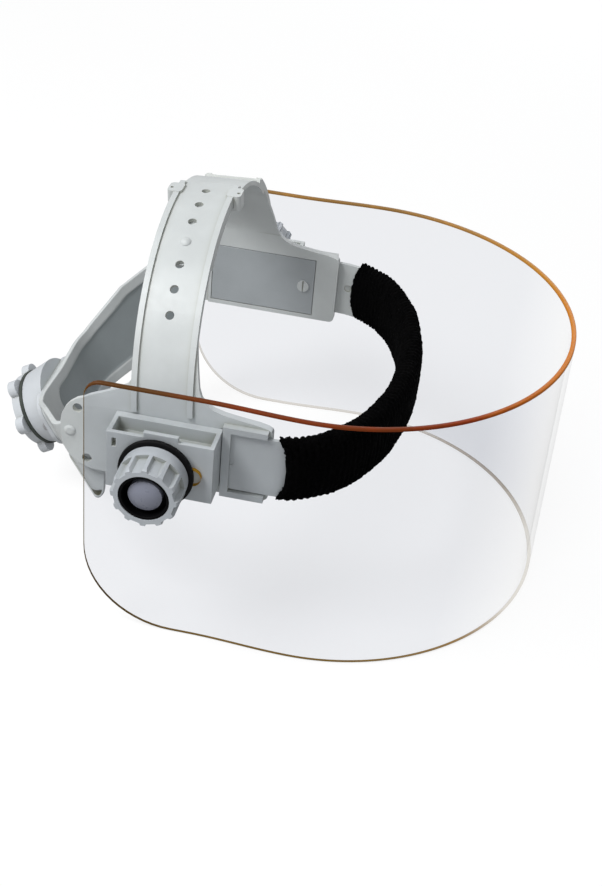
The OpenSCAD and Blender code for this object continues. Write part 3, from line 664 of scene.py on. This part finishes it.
def rounded(a, b, c, r, steps=10):
    """The rounded corner at b of a path a-b-c."""
    a, b, c = map(np.array, (a, b, c))
    u, w = unit(a - b), unit(c - b)
    half = math.acos(float(u @ w)) / 2
    o = b + unit(u + w) * r / math.sin(half)
    s, e = b + u * r / math.tan(half) - o, b + w * r / math.tan(half) - o
    start = math.atan2(s[1], s[0])
    turn = math.atan2(s[0] * e[1] - s[1] * e[0], float(s @ e))
    angles = [start + turn * k / steps for k in range(steps + 1)]
    return [o + r * np.array([math.cos(k), math.sin(k)]) for k in angles]


def smooth_step(value, a, b):
    """0 before a, 1 after b, and an eased rise between them."""
    q = min(max((value - a) / (b - a), 0), 1)
    return q * q * (3 - 2 * q)


def band_limits(x):
    """The band's lower and upper edge, highest at the temples."""
    low = np.interp(abs(x), [40, 70, 100], [-42, -43, -47])
    high = np.interp(abs(x), [0, 40, 70, 100], [-5.5, -4, 4, 8])
    return low, min(FRONT_HIGH, high)


def band_front(v):
    """Where an arm's slanting front end stands, with its two rounded corners."""
    if v > -9.5:
        return -7.5 - math.sqrt(max(0, 9.0 ** 2 - (v + 5.01) ** 2))
    if v < -40.1:
        return 14.49 - math.sqrt(max(0, 14.0 ** 2 - (v + 33.1) ** 2))
    return -23.09 + (FRONT_HIGH - v) * 29.5 / (FRONT_HIGH - FRONT_LOW)


def make_rear_band():
    """The rear band as one moulding, from temple to nape to temple. Inside it has a sunk panel on either side,
    within a wide light border; outside, a bead and a groove run along its lower edge, and the groove is
    coloured dark olive as painted shadow."""
    end, corner, turn, middle = (ARM_X, ARM_END_U), (ARM_X, BEND_U), (TURN_X, NAPE_U), (0.0, NAPE_U)
    half = [end] + rounded(end, corner, turn, 9, 14) + rounded(corner, turn, middle, 38, 24) + [middle]
    path = np.array([(-x, u) for x, u in half] + [tuple(p) for p in reversed(half[:-1])], float)
    run = np.concatenate([[0], np.cumsum(np.linalg.norm(np.diff(path, axis=0), axis=1))])
    total = run[-1]
    mid = total / 2

    def at(s):
        return np.array([np.interp(s, run, path[:, 0]), np.interp(s, run, path[:, 1])])

    # rows and columns stand close together along the edges, where the border, bead and groove are
    near = [0, 0.25, 0.7, 1.5, 2.4, 3.2, 4.2, 4.8, 5.3, 5.8, 6.4]
    edge = [n / 51 for n in near]
    share = np.array(edge + list(np.linspace(0.16, 0.84, 26)) + [1 - n for n in reversed(edge)])
    right_steps, nape_steps, left_steps = 71, 45, 85
    rows, cols = len(share), 2 * len(near) + right_steps + nape_steps + left_steps - 3
    points, normals = np.zeros((rows, cols, 3)), np.zeros((rows, cols, 3))
    out, inner, sunk, groove = (np.zeros((rows, cols)) for _ in range(4))
    for i, q in enumerate(share):
        v_front = FRONT_LOW + BAND_R + (FRONT_HIGH - FRONT_LOW - 2 * BAND_R) * q
        s0 = band_front(v_front) - ARM_END_U + BAND_R
        s1 = total - s0
        stops = [s0 + n for n in near]
        stops += list(np.linspace(s0 + near[-1], mid - 28, right_steps)[1:])
        stops += list(np.linspace(mid - 28, mid - 4, nape_steps)[1:])
        stops += list(np.linspace(mid - 4, s1 - near[-1], left_steps)[1:])
        stops += [s1 - n for n in reversed(near)]
        for j, s in enumerate(stops):
            x, u = at(s)
            low, high = band_limits(x)
            v = (low + BAND_R) + (high - low - 2 * BAND_R) * q
            tangent = unit(at(min(s + 0.5, total)) - at(max(s - 0.5, 0)))
            points[i, j] = (x, u, v)
            normals[i, j] = (-tangent[1], tangent[0], 0)
            # the sunk panels, one in each arm, with rounded corners
            ends = [(s - s0) * 0.87, mid - 40 - s] if s < mid - 30 else [s - mid + 20, (s1 - s) * 0.87]
            ds, dv = min(ends) - 0.3, min(v - low, high - v) - BAND_R - BORDER
            inside = min(ds, dv)
            if ds <= PANEL_R and dv <= PANEL_R:
                inside = PANEL_R - math.hypot(PANEL_R - ds, PANEL_R - dv)
            sunk[i, j] = smooth_step(inside, 0, 1.1)
            inner[i, j] = BAND_IN - PANEL_DEPTH * sunk[i, j]
            # the bead on the lower edge and the groove above it, which stop short of the front and the nape
            reach = smooth_step(min(s - s0, s1 - s), -1, 2) * smooth_step(abs(x), 34, 40)
            above = v - low - BAND_R
            bead = 1 - smooth_step(above, 1.2, 1.9)
            below = smooth_step(-v, 29, 31.5)
            # the groove mask also darkens the colour here with painted shadow
            groove[i, j] = (1 - bead) * (1 - smooth_step(above, 4.6, 5.6)) * below * reach
            out[i, j] = BAND_OUT + 0.75 * bead * below * reach - 0.5 * groove[i, j]
    built = sheet_solid(points, normals, out, inner, BAND_R, lambda *place: 0)
    band = add_sheet("rear_band_moulding", built, [BAND], "rear_band", band_point)
    count = rows * cols
    for name, values, start in (("groove", groove, 0), ("sunk", sunk, count)):
        attribute = band.data.attributes.new(name, "FLOAT", "POINT")
        data = np.zeros(len(band.data.vertices))
        data[start:start + count] = values.reshape(-1)
        attribute.data.foreach_set("value", data)
    band.data.set_sharp_from_angle(angle=math.radians(50))
    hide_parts("left_band_arm", "right_band_arm", "ratchet_base")


def case_outline(inset):
    """The case's rounded outline across the slope, drawn in by inset."""
    half, high = CASE_HALF - inset, CASE_HIGH - inset
    corners = [(half, -high), (half, high), (-half, high), (-half, -high)]
    loop = []
    for k in range(4):
        loop += rounded(corners[k - 1], corners[k], corners[(k + 1) % 4], CASE_R - inset)
    return loop


def make_case_wall():
    """The wall of the ratchet's case, between the nape moulding and the drum's flange."""
    outer, inner = case_outline(0), case_outline(CASE_WALL)
    start = NAPE_U - 0.4
    loops = ((outer, start), (outer, CASE_END_U), (inner, CASE_END_U), (inner, start))
    verts = [band_point(x, u, AXIS_V + v) for loop, u in loops for x, v in loop]
    n = len(outer)
    faces = []
    for k in range(4):
        here, there = k * n, (k + 1) % 4 * n
        faces += [(here + i, here + (i + 1) % n, there + (i + 1) % n, there + i) for i in range(n)]
    case = add_piece("ratchet_case_wall", verts, faces, [BAND], "rear_band")
    face_outwards(case.data)
    soften(case, 0.5)


# ---------------------------------------------------------------- stage
FLOOR_HALF, FLOOR_GAP = 12, 0.0004
AIM = (0, 0, 0.1)
LIGHTS = {   # place, size and power
    "key": ((-0.7, 0.9, 1.5), 0.8, 30),
    "fill": ((-1.6, -0.6, 0.9), 1.2, 5),
    "far_fill": ((1.6, -0.4, 0.7), 1.2, 9),
}


def make_floor():
    """A wide pale floor, a hair below the visor's rim."""
    mesh = bpy.data.meshes.new("floor")
    corners = [(-1, -1), (1, -1), (1, 1), (-1, 1)]
    mesh.from_pydata([(x * FLOOR_HALF, y * FLOOR_HALF, 0) for x, y in corners], [], [(0, 1, 2, 3)])
    mesh.materials.append(floor_material())
    floor = bpy.data.objects.new("floor", mesh)
    floor.location.z = -FLOOR_GAP
    scene.collection.objects.link(floor)


def make_world():
    """A room that lights the object softly, and is itself seen as white."""
    world = bpy.data.worlds.new("studio")
    world.use_nodes = True
    nodes, links = world.node_tree.nodes, world.node_tree.links
    nodes["Background"].inputs["Color"].default_value = (0.97, 0.985, 1.0, 1)
    seen = nodes.new("ShaderNodeMapRange")
    seen.inputs["To Min"].default_value = 0.42
    seen.inputs["To Max"].default_value = 0.98
    links.new(nodes.new("ShaderNodeLightPath").outputs["Is Camera Ray"], seen.inputs["Value"])
    links.new(seen.outputs["Result"], nodes["Background"].inputs["Strength"])
    scene.world = world


def make_stage():
    make_floor()
    make_world()
    for name, (place, size, power) in LIGHTS.items():
        data = bpy.data.lights.new(name, "AREA")
        data.shape = "DISK"
        data.size = size
        data.energy = power
        light = bpy.data.objects.new(name, data)
        scene.collection.objects.link(light)
        light.location = place
        light.rotation_mode = "QUATERNION"
        light.rotation_quaternion = (Vector(AIM) - Vector(place)).to_track_quat("-Z", "Y")
    scene.view_settings.view_transform = "Standard"
    scene.view_settings.look = "None"


make_camera()
make_stage()
dress_nodes()
make_visor()
make_sweatband()
make_rear_band()
make_case_wall()
